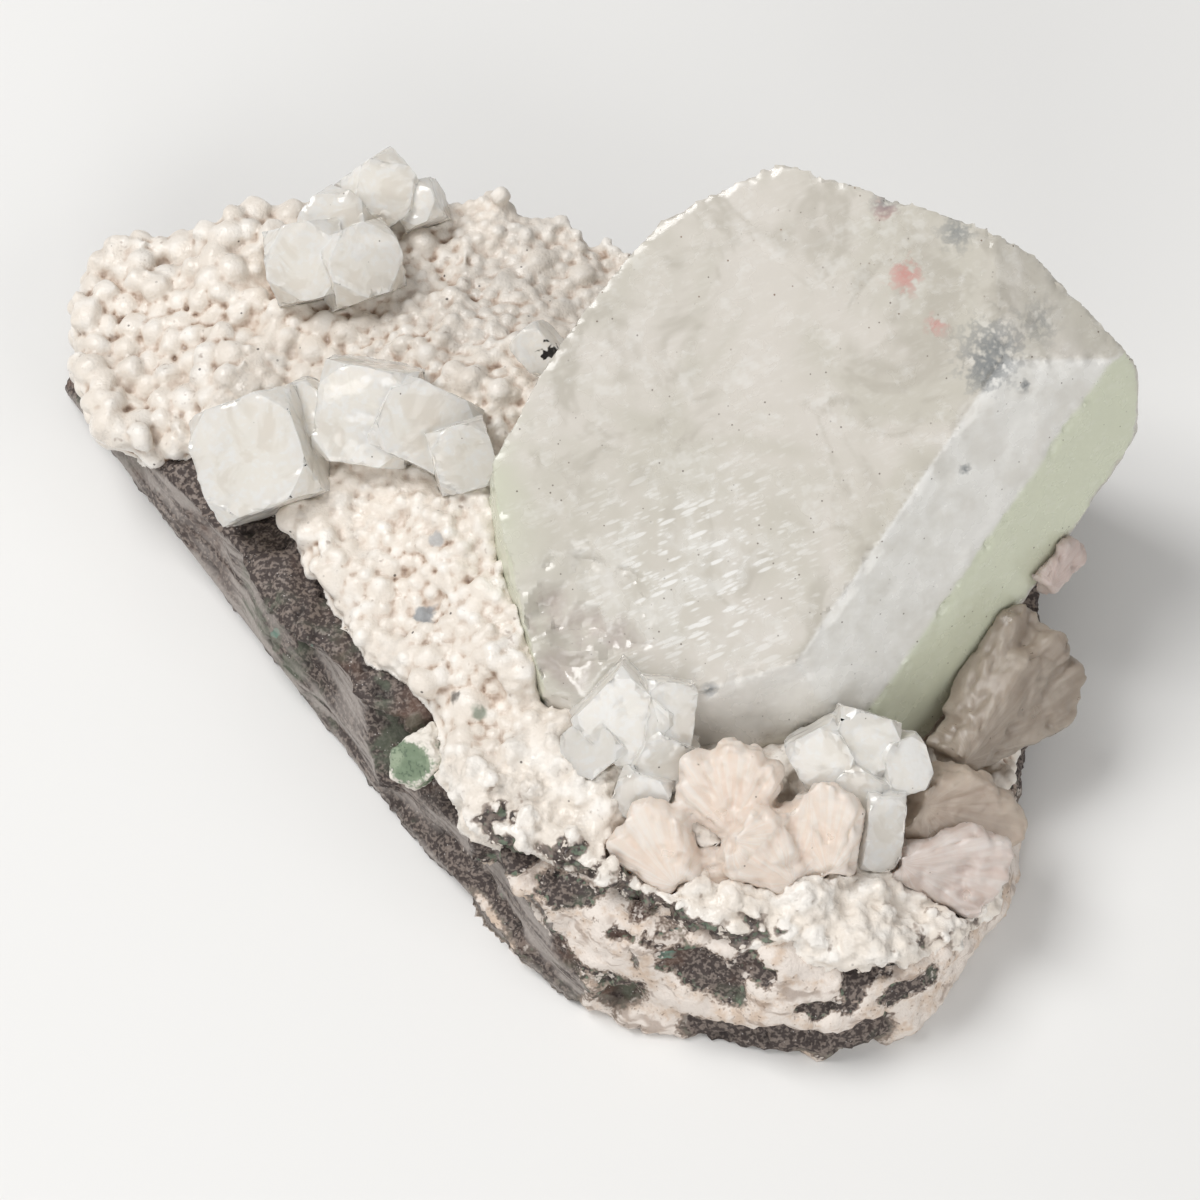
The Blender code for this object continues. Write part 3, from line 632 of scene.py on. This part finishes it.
crystalLook = dict(
    skinVoxel=0.45, middle=Vector((15.0, 9.8, 36.1)), facing=Vector((-0.12, -0.48, 0.869)),
    milk=tone(213, 207, 198), clear=tone(200, 195, 183), shade=tone(184, 178, 166),
    green=tone(212, 216, 192), white=tone(230, 228, 223), fleck=tone(247, 246, 243),
    whiteBand=(321.6, 38), greenBand=(321.6, 56), leftBand=(191, 70), lowBand=(283, 36),
    speck=tone(74, 56, 44), smudge=tone(120, 124, 126), pink=tone(206, 120, 116), brown=tone(150, 120, 96),
)
def ridgeTree(node, angle):  # points along the sharp edges of a CAD node, to find the nearest one
    shape = merged(node)
    bmesh.ops.dissolve_limit(shape, angle_limit=math.radians(1.5), verts=shape.verts, edges=shape.edges)
    points = []
    for edge in shape.edges:
        if len(edge.link_faces) == 2 and edge.calc_face_angle() > math.radians(angle):
            count = max(1, round(edge.calc_length() / (0.2 * mm)))
            points += [edge.verts[0].co.lerp(edge.verts[1].co, index / count) for index in range(count + 1)]
    shape.free()
    tree = KDTree(len(points))
    for index, point in enumerate(points):
        tree.insert(point, index)
    tree.balance()
    return tree


# the broken hollow: each pit by where it is seen, how deep it may go in mm, and its sides as
# (which way the side faces on the crystal's face, how far out it starts in mm, how steep it is)
brokenPits = [
    ((578, 628), 2.6, [(20, 3.4, 0.8), (95, 2.6, 0.55), (170, 3.6, 0.9), (235, 3.2, 0.5), (300, 3.0, 0.7)]),
    ((548, 612), 1.5, [(0, 2.6, 0.5), (80, 3.4, 0.6), (150, 2.4, 1.1), (220, 3.6, 0.5), (300, 2.2, 0.6)]),
    ((560, 662), 1.9, [(15, 4.6, 0.4), (80, 2.0, 0.7), (165, 3.6, 0.5), (250, 3.0, 0.8), (320, 4.2, 0.5)]),
    ((618, 642), 1.2, [(40, 2.4, 0.6), (120, 2.6, 0.5), (200, 3.0, 0.5), (290, 1.8, 0.9)]),
]


def buildCrystal(finish):
    look = crystalLook
    ridges = ridgeTree("main_crystal", 9)
    crystal = objectFrom(merged("main_crystal"), "pale_green_crystal", finish)
    voxels(crystal, look["skinVoxel"])
    mesh = crystal.data
    own = treeOf("main_crystal")
    facing = look["facing"].normalized()
    turn = faceFrame(facing, 0).transposed()
    pits = [(under(*seen, own), depth, [(math.cos(math.radians(way)), math.sin(math.radians(way)), out, steep)
                                        for way, out, steep in sides]) for seen, depth, sides in brokenPits]
    for band in ("whiteBand", "greenBand", "leftBand", "lowBand"):
        azimuth, dip = (math.radians(angle) for angle in look[band])
        out = faceFrame(facing, 0) @ Vector((math.cos(azimuth) * math.sin(dip), math.sin(azimuth) * math.sin(dip),
                                             math.cos(dip)))
        storeField(crystal, band, [max(0.0, min(1.0, (v.normal.dot(out) - 0.95) / 0.04)) for v in mesh.vertices])
    moved, hollow = [], []
    for vertex in mesh.vertices:
        spot, out = vertex.co.copy(), vertex.normal
        place = (spot - centre) / mm
        near = ridges.find(spot)[2] / mm
        chip = max(0.0, 1 - near / 1.2) * max(0.0, noise.fractal(place * 0.35, 0.8, 2.1, 4) + 0.1)
        swell = noise.fractal(place * 0.1, 0.7, 2.2, 5) * 0.08
        stairs = math.floor((noise.fractal(place * 0.16, 0.6, 2.0, 3) + 0.5) * 6) / 6 * 0.12
        onFace = max(0.0, min(1.0, (out.dot(facing) - 0.9) / 0.08))
        lift = -chip * 0.7 + swell + stairs * (1 - onFace * 0.6)
        carved = 0.0
        if out.dot(facing) > 0.6:
            for middle, depth, sides in pits:
                away = turn @ (spot - middle) / mm
                if away.length < 8:
                    bend = noise.noise(place * 0.3) * 0.7
                    carved = max(carved, min(depth, *((far + bend - away.x * along - away.y * up) * steep
                                                      for along, up, far, steep in sides)))
        carved *= 1 + 0.12 * noise.noise(place * 0.8)
        moved.append(spot + out * lift * mm - facing * carved * mm)
        hollow.append(min(1.0, carved / 1.0))
    for vertex, spot in zip(mesh.vertices, moved):
        vertex.co = spot
    storeField(crystal, "hollow", hollow)
    shadeByAngle(crystal, 24)
    print("large crystal", len(mesh.polygons))
    return dress(crystal, "main_crystal", slot="pale_green_apophyllite", material=finish)


def crystalFinish():
    look = crystalLook
    paint = Finish("pale_green_crystal", {"IOR": 1.535, "Transmission Weight": 0.12})
    turn = faceFrame(look["facing"], 0)
    eye = treeOf("main_crystal")
    own = look["middle"] * mm + centre
    onFace = paint.turned(own, turn.to_euler(), (1, 1, 1))
    slant = (turn @ Matrix.Rotation(math.radians(19), 3, "Z")).to_euler()
    along = paint.turned(own, slant, (3.6, 0.8, 1.6))
    broad, mid, fine = paint.cloud(16, 3, 0.6, warp=0.6), paint.cloud(4, 3, 0.62), paint.cloud(1.1, 2, 0.6)
    across = onFace.vector("DOT_PRODUCT", (1, 0, 0), "Value") * 1000
    upFace = onFace.vector("DOT_PRODUCT", (0, 1, 0), "Value") * 1000
    body = paint.colour(look["milk"]).blend(broad.step(0.36, 0.6), look["clear"])
    body = body.blend(paint.cloud(10, 3, 0.65, warp=1.2).step(0.5, 0.66) * 0.7, look["shade"])
    body = body.blend((mid * fine).step(0.26, 0.42) * 0.3, look["white"])
    body = body.blend(paint.attribute("whiteBand") * (mid.step(0.3, 0.6) * 0.4 + 0.6), look["white"])
    greenish = (paint.attribute("greenBand") + paint.attribute("leftBand") * 0.6).atMost(1)
    body = body.blend(greenish * 0.9, look["green"])
    body = body.blend(paint.attribute("lowBand") * 0.6, look["white"])
    body = body.blend((-across).step(20, 30) * (broad.step(0.35, 0.6) * 0.6 + 0.2), look["green"])
    dense = (under(700, 575, eye) - centre) / mm
    near = paint.spot(dense, 9, 9, (mid - 0.5) * 12)
    body = body.blend(near * mid.step(0.42, 0.62) * 0.45, look["white"])
    flecks = paint.cells(0.85, where=along).step(0.4, 0.24) * paint.cloud(2.6, 3).step(0.42, 0.54) * (near + 0.1)
    splinters = paint.cells(0.45, where=along).step(0.42, 0.26) * paint.cloud(2, 3).step(0.46, 0.58) * (near + 0.2)
    body = body.blend(flecks.atLeast(splinters * 0.6) * 0.7, look["fleck"])
    dots = paint.cells(1.3).step(0.1, 0.05) * paint.cloud(6, 2).step(0.42, 0.55)
    body = body.blend(dots * 0.75, look["speck"])
    rust = paint.cells(1.3).step(0.1, 0.05) * paint.cloud(3, 2).step(0.5, 0.6) * (upFace + mid * 10).step(10, 24)
    body = body.blend(rust * 0.7, look["brown"])
    for seen, radius, tint, strength in (
            ((905, 275), 1.3, "pink", 0.6), ((937, 325), 0.8, "pink", 0.5), ((885, 210), 0.8, "pink", 0.5),
            ((994, 350), 2.6, "smudge", 0.85), ((985, 372), 1.6, "smudge", 0.7), ((885, 205), 1.0, "smudge", 0.7),
            ((957, 232), 1.4, "smudge", 0.7), ((1040, 322), 1.6, "smudge", 0.5), ((965, 470), 0.5, "smudge", 0.9),
            ((1025, 385), 0.5, "smudge", 0.9), ((710, 690), 0.6, "smudge", 0.9)):
        spot = (under(*seen, eye) - centre) / mm
        mark = paint.spot(spot, radius, radius * 0.7, (fine - 0.5) * radius * 5)
        body = body.blend(mark * fine.step(0.2, 0.56) * strength, look[tint])
    hollow = paint.attribute("hollow")
    body = body.blend(hollow * mid.step(0.35, 0.6) * 0.5, tone(176, 160, 154))
    rough = (mid.fit(0.35, 0.65, 0.14, 0.34) - hollow * 0.12).atLeast(0.04)
    height = along.node("ShaderNodeTexNoise", {}, {"Vector": along, "Scale": 700, "Detail": 2}) * 0.6 + fine * 0.5
    return paint.feed(colour=body, rough=rough, normal=paint.dents(height, 0.12, 0.35))


# clear crystals

# the gap colour is a painted shadow: the dark gap between the clear crystals, laid on as a near-black spot
clearLook = dict(bevel=0.25, roundBevel=0.8, grain=1.0, body=tone(253, 247, 238), bright=tone(255, 254, 250),
                 dim=tone(232, 224, 212), gap=tone(30, 27, 26), gapSeen=(549, 350), gapRadius=0.9)
clearPieces = ["clear_crystals_middle", "clear_crystals_top", "clear_crystal_gap", "clear_crystals_foot",
               "clear_crystals_front"]


def clearFinish():
    look = clearLook
    paint = Finish("clear_crystal", {"IOR": 1.535, "Transmission Weight": 0.38, "Subsurface Weight": 0.35,
                                     "Subsurface Scale": 0.004, "Subsurface Radius": (1.0, 0.97, 0.94)})
    rim = paint.attribute("rim")
    mid, fine = paint.cloud(4.5, 3, 0.6, warp=0.8), paint.cloud(0.8, 1, 0.6)
    streaks = paint.cloud(1.0, 2, 0.6, where=paint.turned((0, 0, 0), (0.5, 0.4, 0.6), (1, 1, 7)))
    body = paint.colour(look["body"]).blend(mid.step(0.5, 0.38) * 0.5, look["dim"])
    body = body.blend(streaks.step(0.55, 0.68) * mid.step(0.4, 0.5) * 0.7, look["bright"])
    # painted highlight: the edges brightened through the rim field, mixed with milky patches from noise that are the
    # crystal's own
    body = body.blend(((mid * 0.6 + fine * 0.4).step(0.5, 0.62) * 0.7).atLeast(rim), look["bright"])
    dots = paint.cells(1.8).step(0.07, 0.04) * paint.cloud(4, 2).step(0.5, 0.56)
    body = body.blend(dots * 0.8, tone(70, 62, 56))
    # painted shadow: a near-black spot on the crystal where the gap between the crystals lies in shade
    dark = under(*look["gapSeen"], crystalTree)
    if dark:
        gap = paint.spot((dark - centre) / mm, look["gapRadius"], 0.2, (fine - 0.5) * 4)
        body = body.blend(gap, look["gap"])
    return paint.feed(colour=body, rough=mid.fit(0.3, 0.7, 0.03, 0.12),
                      normal=paint.dents(mid + streaks * 0.3 + fine * 0.08, 0.35, 0.25))


def crisp(node, name, bevel, size, flat=2):  # sharp facets with small bevels, cut fine enough to carry a field
    shape = merged(node)
    bmesh.ops.dissolve_limit(shape, angle_limit=math.radians(flat), verts=shape.verts, edges=shape.edges)
    thing = objectFrom(shape, name)
    edges = thing.modifiers.new("edges", "BEVEL")
    edges.width, edges.segments, edges.limit_method = bevel * mm, 3, "ANGLE"
    edges.angle_limit, edges.use_clamp_overlap = math.radians(10), True
    settled(thing)
    shape = bmesh.new()
    shape.from_mesh(thing.data)
    bmesh.ops.triangulate(shape, faces=shape.faces)
    for _ in range(6):
        long = [edge for edge in shape.edges if edge.calc_length() > size * mm]
        if not long:
            break
        bmesh.ops.subdivide_edges(shape, edges=long, cuts=1, use_grid_fill=True)
        bmesh.ops.triangulate(shape, faces=shape.faces)
    shape.to_mesh(thing.data)
    shape.free()
    return thing


def buildClear(node, finish):
    look = clearLook
    crystal = crisp(node, node.replace("clear", "glassy"),
                    look["roundBevel" if node == "clear_crystals_top" else "bevel"], look["grain"])
    ridges = ridgeTree(node, 14)
    rim, moved = [], []
    for vertex in crystal.data.vertices:
        place = (vertex.co - centre) / mm
        near = ridges.find(vertex.co)[2] / mm
        # rim: how near an edge is, used to paint a highlight along the edges
        rim.append(max(0.0, 1 - near / 0.3) * max(0.0, min(1.0, noise.noise(place * 0.8) * 2 + 0.7)))
        bowl = noise.fractal(place * 0.25, 0.8, 2.0, 3) * 0.22
        chip = max(0.0, 1 - near / 0.7) * max(0.0, noise.noise(place * 1.1) + 0.05) * 0.5
        moved.append(vertex.co + vertex.normal * (bowl - chip) * mm)
    for vertex, spot in zip(crystal.data.vertices, moved):
        vertex.co = spot
    storeField(crystal, "rim", rim)
    shadeByAngle(crystal, 22)
    print(node, len(crystal.data.polygons))
    return dress(crystal, node, slot="clear_apophyllite", material=finish)


# stilbite

fanLook = {
    "stilbite_fans_front": dict(
        body=tone(244, 224, 208), edge=tone(251, 242, 233), slot="peach_stilbite", clear=0.25),
    "stilbite_blades_grey": dict(
        body=tone(170, 155, 140), edge=tone(198, 186, 172), slot="grey_stilbite", clear=0.4),
    "stilbite_blade_tan": dict(
        body=tone(194, 176, 160), edge=tone(212, 198, 182), slot="tan_stilbite", clear=0.3),
    "stilbite_blades_pink": dict(
        body=tone(218, 200, 190), edge=tone(240, 232, 226), slot="pink_stilbite", clear=0.3),
    "stilbite_blade_rim": dict(
        body=tone(208, 188, 180), edge=tone(226, 212, 205), slot="pink_stilbite", clear=0.3),
}
fanRoots = {  # root and facing of each fan, as the solids have them
    "stilbite_fans_front": [((13.6, -24.6, 16.8), (-0.1, -0.7, 0.71)), ((23.6, -29.0, 14.6), (-0.15, -0.6, 0.78)),
                            ((8.4, -30.0, 14.8), (-0.2, -0.7, 0.67)), ((19.4, -29.6, 15.0), (0.1, -0.75, 0.65))],
    "stilbite_blades_grey": [((36.4, -14.8, 12.6), (0.5, -0.55, 0.67))],
    "stilbite_blade_tan": [((32.6, -20.6, 13.6), (0.3, -0.55, 0.78))],
    "stilbite_blades_pink": [((30.6, -26.6, 12.8), (0.1, -0.62, 0.78))],
    "stilbite_blade_rim": [((46.4, 2.4, 19.2), (0.6, -0.5, 0.62))],
}


def fanFinish(name):
    look = fanLook[name]
    paint = Finish(name + "_finish", {"IOR": 1.5, "Transmission Weight": look["clear"], "Subsurface Weight": 0.3,
                                      "Subsurface Scale": 0.004, "Subsurface Radius": (1.0, 0.85, 0.72)})
    blade = paint.node("ShaderNodeAttribute", {"attribute_name": "blade"}, {}, "Vector")
    streaks = paint.node("ShaderNodeTexNoise", {}, {"Vector": blade, "Scale": 1.0, "Detail": 4})
    mid, fine = paint.cloud(3.5, 3, 0.6), paint.cloud(0.6, 1)
    rim = paint.attribute("rim")
    pale = (streaks.step(0.4, 0.62) * 0.45 + mid.step(0.4, 0.65) * 0.35).atLeast(rim * 0.8)
    body = paint.colour(look["body"]).blend(pale, look["edge"])
    dots = paint.cells(1.9).step(0.07, 0.04) * paint.cloud(4, 2).step(0.52, 0.58)
    body = body.blend(dots * 0.7, tone(110, 88, 70))
    return paint.feed(colour=body, rough=mid.fit(0.3, 0.7, 0.26, 0.5),
                      normal=paint.dents(streaks + fine * 0.15, 0.2, 0.4))


def buildFan(node, finish):
    fan = voxels(objectFrom(merged(node), node.replace("stilbite", "ribbed")), 0.32)
    for vertex, spot in zip(fan.data.vertices, relaxed(fan, 4)):
        vertex.co = spot
    ridges = ridgeTree(node, 14)
    roots = [(Vector(root) * mm + centre, faceFrame(facing, 0)) for root, facing in fanRoots[node]]
    rim, blade, moved = [], [], []
    for vertex in fan.data.vertices:
        spot, out = vertex.co.copy(), vertex.normal
        root, turn = min(roots, key=lambda pair: (spot - pair[0]).length)
        away = turn.transposed() @ (spot - root) / mm
        angle = math.atan2(away.x, away.y)
        blade += [angle * 11, away.length * 0.14, away.z * 0.5 + root.x * 900]
        near = ridges.find(spot)[2] / mm
        rim.append(max(0.0, 1 - near / 0.35) * max(0.0, min(1.0, noise.noise(spot / mm * 0.9) + 0.6)))
        lump = noise.fractal(spot / mm * 0.28, 0.8, 2.1, 4) * 0.24
        chip = max(0.0, 1 - near / 1.0) * max(0.0, noise.noise(spot / mm * 0.7) + 0.1) * 1.0
        wave = noise.noise(Vector((angle * 14, away.length * 0.1, 0))) * 0.07
        moved.append(spot + out * (lump + wave - chip) * mm)
    for vertex, spot in zip(fan.data.vertices, moved):
        vertex.co = spot
    storeField(fan, "rim", rim)
    field = fan.data.attributes.new("blade", "FLOAT_VECTOR", "POINT")
    field.data.foreach_set("vector", blade)
    shadeByAngle(fan, 50)
    print(node, len(fan.data.polygons))
    return dress(fan, node, slot=fanLook[node]["slot"], material=finish)


# green chip

chipLook = dict(
    voxel=0.2, core=2.6, froth=1.0, lump=0.2, frothLump=0.3, body=tone(116, 132, 108), pale=tone(150, 162, 138),
    dark=tone(84, 100, 82), white=tone(222, 216, 206),
)


def chipFinish():
    look = chipLook
    paint = Finish("green_chip", {"IOR": 1.5})
    mid, fine = paint.cloud(2.5, 3), paint.cloud(0.5, 1)
    rim = paint.attribute("rim")
    body = paint.colour(look["body"]).blend(mid.step(0.4, 0.62), look["pale"])
    body = body.blend(fine.step(0.54, 0.66) * 0.7, look["dark"])
    body = body.blend((rim + (fine - 0.5) * 0.8).step(0.3, 0.6), look["white"])
    return paint.feed(colour=body, rough=fine.fit(0.3, 0.7, 0.5, 0.85), normal=paint.dents(fine, 0.12, 0.6))


def buildChip(finish):
    look = chipLook
    chip = objectFrom(merged("celadonite_chip"), "green_chip", finish)
    voxels(chip, look["voxel"])
    low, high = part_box("celadonite_chip")
    middle = (low + high) / 2
    rim = []
    for vertex in chip.data.vertices:
        place = (vertex.co - middle) / mm
        out = Vector((place.x * 0.8, place.y, place.z)).length - look["core"]
        edge = max(0.0, min(1.0, out / look["froth"]))
        top = max(0.0, min(1.0, (place.y * 0.6 + place.z * 0.5 - 1.2) / 0.8))
        rim.append(max(edge * 0.7, top))
        lift = noise.fractal(vertex.co / mm * 0.9, 0.8, 2, 3) * look["lump"]
        lift += rim[-1] * noise.noise(vertex.co / mm * 1.6) * look["frothLump"]
        vertex.co += vertex.normal * lift * mm
    storeField(chip, "rim", rim)
    print("chip", len(chip.data.polygons))
    return dress(chip, "celadonite_chip", slot="celadonite", material=finish)


# floor and light

roomLook = dict(
    half=2.0, paper=tone(226, 225, 223), world=0.28,
    lamps=[("key", (-0.4, 0.15, 0.7), 0.45, 5.4), ("fill", (0.6, -0.5, 0.5), 0.6, 2.3),
           ("front", (-0.15, -0.75, 0.35), 0.5, 2.2)],
)


def buildRoom():
    look, scene = roomLook, bpy.context.scene
    floor = bpy.data.objects.new("floor", bpy.data.meshes.new("floor"))
    sheet = bmesh.new()
    bmesh.ops.create_grid(sheet, x_segments=1, y_segments=1, size=look["half"])
    sheet.to_mesh(floor.data)
    sheet.free()
    scene.collection.objects.link(floor)
    paper = Finish("paper", {"Base Color": look["paper"], "Roughness": 0.8})
    floor.data.materials.append(paper.material)
    floor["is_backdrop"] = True
    world = bpy.data.worlds.new("studio")
    world.use_nodes = True
    world.node_tree.nodes["Background"].inputs["Color"].default_value = (1, 1, 1, 1)
    world.node_tree.nodes["Background"].inputs["Strength"].default_value = look["world"]
    scene.world = world
    for name, place, size, power in look["lamps"]:
        data = bpy.data.lights.new(name, "AREA")
        data.size, data.energy = size, power
        lamp = bpy.data.objects.new(name, data)
        lamp.location = place
        lamp.rotation_euler = (Vector(place) - view["target"]).to_track_quat("Z", "Y").to_euler()
        scene.collection.objects.link(lamp)
    scene.view_settings.view_transform = "Standard"


buildCamera()
buildRoom()
print("camera, floor and light")
buildStone(stoneFinish())
buildDruse(druseFinish(), knobTree())
buildCrystal(crystalFinish())
clearSurface = clearFinish()
for clearNode in clearPieces:
    buildClear(clearNode, clearSurface)
for fanNode in fanLook:
    buildFan(fanNode, fanFinish(fanNode))
buildChip(chipFinish())

[[list(map(float, corner)) for corner in box] for box in (solidBox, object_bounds())]
